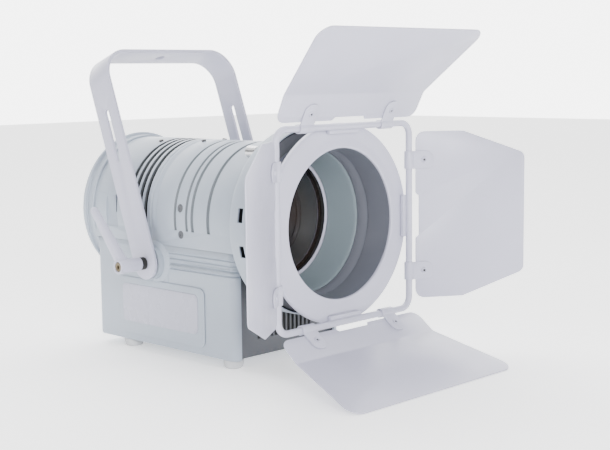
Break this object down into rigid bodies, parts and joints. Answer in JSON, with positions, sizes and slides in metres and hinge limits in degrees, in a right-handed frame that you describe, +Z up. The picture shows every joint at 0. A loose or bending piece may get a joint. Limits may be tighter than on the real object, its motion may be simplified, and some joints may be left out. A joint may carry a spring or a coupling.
{
  "type": "focusing stage spotlight with a barndoor",
  "caption": "Stage spotlight: round barrel on a box base, sliding lens inside, tilting slotted yoke with clamp levers, and a rotating barndoor of hinged leaves.",
  "frame": {"origin": "on the surface that the feet stand on, under the middle of the whole part with the leaves as stored", "axes": "+Z up, the lens axis along Y with the light leaving towards -Y, +X to the right of a person who looks along +Y at the lens"},
  "size_m": [0.4188, 0.4622, 0.349],
  "materials": {
    "light_paint": "satin pale grey paint",
    "shaded_paint": "matt grey paint",
    "black_plastic": "black",
    "grey_rubber": "grey, matt",
    "lens_glass": "clear, polished",
    "bright_steel": "bright",
    "fin_metal": "dark anodised",
    "module": "board with a yellow emitter",
    "circuit": "green circuit board",
    "driver_case": "driver housing"
  },
  "bodies": {
    "housing": {"front_shell": "light_paint", "barrel_neck": "light_paint", "lens_tube": "light_paint", "rear_shell": "light_paint", "rear_cover": "light_paint", "front_bezel": "light_paint", "base_housing": "light_paint", "base_plate": "light_paint", "base_front_panel": "shaded_paint", "foot_front_left": "grey_rubber", "foot_front_right": "grey_rubber", "foot_rear_left": "grey_rubber", "foot_rear_right": "grey_rubber", "side_panel_left": "light_paint", "side_panel_right": "light_paint", "control_panel": "shaded_paint", "display_window": "black_plastic", "power_inlet": "black_plastic", "data_input": "black_plastic", "data_output": "black_plastic", "heat_sink": "fin_metal", "led_module": "module", "driver_unit": "driver_case", "control_board": "circuit", "fan_frame": "black_plastic", "guide_rod_left": "bright_steel", "guide_rod_right": "bright_steel", "barndoor_plate": "shaded_paint"},
    "fan": {"fan_rotor": "black_plastic"},
    "lens_carriage": {"lens_carriage": "black_plastic", "lens": "lens_glass", "lens_retainer": "light_paint"},
    "zoom_knob": {"zoom_knob": "black_plastic"},
    "accessory_plunger": {"accessory_plunger": "bright_steel"},
    "barndoor": {"barndoor_ring": "light_paint", "barndoor_tube": "light_paint", "barndoor_frame": "light_paint"},
    "yoke": {"yoke": "light_paint", "friction_washer_left": "black_plastic", "friction_washer_right": "black_plastic"},
    "clamp_lever_left": {"clamp_lever_left": "light_paint", "clamp_stud_left": "bright_steel"},
    "clamp_lever_right": {"clamp_lever_right": "light_paint", "clamp_stud_right": "bright_steel"},
    "leaf_top": {"leaf_top": "light_paint", "leaf_top_clip_1": "light_paint", "leaf_top_clip_2": "light_paint"},
    "leaf_right": {"leaf_right": "light_paint", "leaf_right_clip_1": "light_paint", "leaf_right_clip_2": "light_paint"},
    "leaf_bottom": {"leaf_bottom": "light_paint", "leaf_bottom_clip_1": "light_paint", "leaf_bottom_clip_2": "light_paint"},
    "leaf_left": {"leaf_left": "light_paint", "leaf_left_clip_1": "light_paint", "leaf_left_clip_2": "light_paint"},
    "menu_button_1": {"menu_button_1": "black_plastic"},
    "menu_button_2": {"menu_button_2": "black_plastic"},
    "menu_button_3": {"menu_button_3": "black_plastic"},
    "menu_button_4": {"menu_button_4": "black_plastic"}
  },
  "joints": [
    {"name": "yoke_tilt", "type": "hinge", "parent": "housing", "child": "yoke", "pos_m": [0, 0.1012, 0.1035], "axis": [-1, 0, 0], "range_deg": [-58, 80]},
    {"name": "clamp_lever_left_turn", "type": "hinge", "parent": "yoke", "child": "clamp_lever_left", "pos_m": [0, 0.1012, 0.1035], "axis": [-1, 0, 0], "range_deg": [-60, 60]},
    {"name": "clamp_lever_right_turn", "type": "hinge", "parent": "yoke", "child": "clamp_lever_right", "pos_m": [0, 0.1012, 0.1035], "axis": [1, 0, 0], "range_deg": [-60, 60]},
    {"name": "barndoor_rotate", "type": "hinge", "parent": "housing", "child": "barndoor", "pos_m": [0, -0.1027, 0.1532], "axis": [0, 1, 0], "continuous": true},
    {"name": "leaf_top_fold", "type": "hinge", "parent": "barndoor", "child": "leaf_top", "pos_m": [0, -0.1094, 0.2532], "axis": [1, 0, 0], "range_deg": [-26.5, 53.5]},
    {"name": "leaf_right_fold", "type": "hinge", "parent": "barndoor", "child": "leaf_right", "pos_m": [0.1, -0.1094, 0.1532], "axis": [0, 0, -1], "range_deg": [-34, 58]},
    {"name": "leaf_bottom_fold", "type": "hinge", "parent": "barndoor", "child": "leaf_bottom", "pos_m": [0, -0.1094, 0.0532], "axis": [-1, 0, 0], "range_deg": [-51.5, 28.5]},
    {"name": "leaf_left_fold", "type": "hinge", "parent": "barndoor", "child": "leaf_left", "pos_m": [-0.1, -0.1094, 0.1532], "axis": [0, 0, 1], "range_deg": [-34, 58]},
    {"name": "zoom_slide", "type": "slide", "parent": "housing", "child": "lens_carriage", "axis": [0, 1, 0], "range_m": [0, 0.055]},
    {"name": "zoom_knob_turn", "type": "hinge", "parent": "lens_carriage", "child": "zoom_knob", "pos_m": [0.086, -0.0109, 0.1324], "axis": [1, 0, 0], "range_deg": [-180, 180]},
    {"name": "accessory_plunger_pull", "type": "slide", "parent": "housing", "child": "accessory_plunger", "axis": [0, 1, 0], "range_m": [0, 0.006], "stiffness_N_per_m": 600, "springref_m": -0.004},
    {"name": "fan_spin", "type": "hinge", "parent": "housing", "child": "fan", "pos_m": [0, 0.1646, 0.1532], "axis": [0, 1, 0], "continuous": true},
    {"name": "menu_button_1_press", "type": "slide", "parent": "housing", "child": "menu_button_1", "axis": [0, -1, 0], "range_m": [0, 0.0012], "stiffness_N_per_m": 500, "springref_m": -0.001},
    {"name": "menu_button_2_press", "type": "slide", "parent": "housing", "child": "menu_button_2", "axis": [0, -1, 0], "range_m": [0, 0.0012], "stiffness_N_per_m": 500, "springref_m": -0.001},
    {"name": "menu_button_3_press", "type": "slide", "parent": "housing", "child": "menu_button_3", "axis": [0, -1, 0], "range_m": [0, 0.0012], "stiffness_N_per_m": 500, "springref_m": -0.001},
    {"name": "menu_button_4_press", "type": "slide", "parent": "housing", "child": "menu_button_4", "axis": [0, -1, 0], "range_m": [0, 0.0012], "stiffness_N_per_m": 500, "springref_m": -0.001}
  ]
}
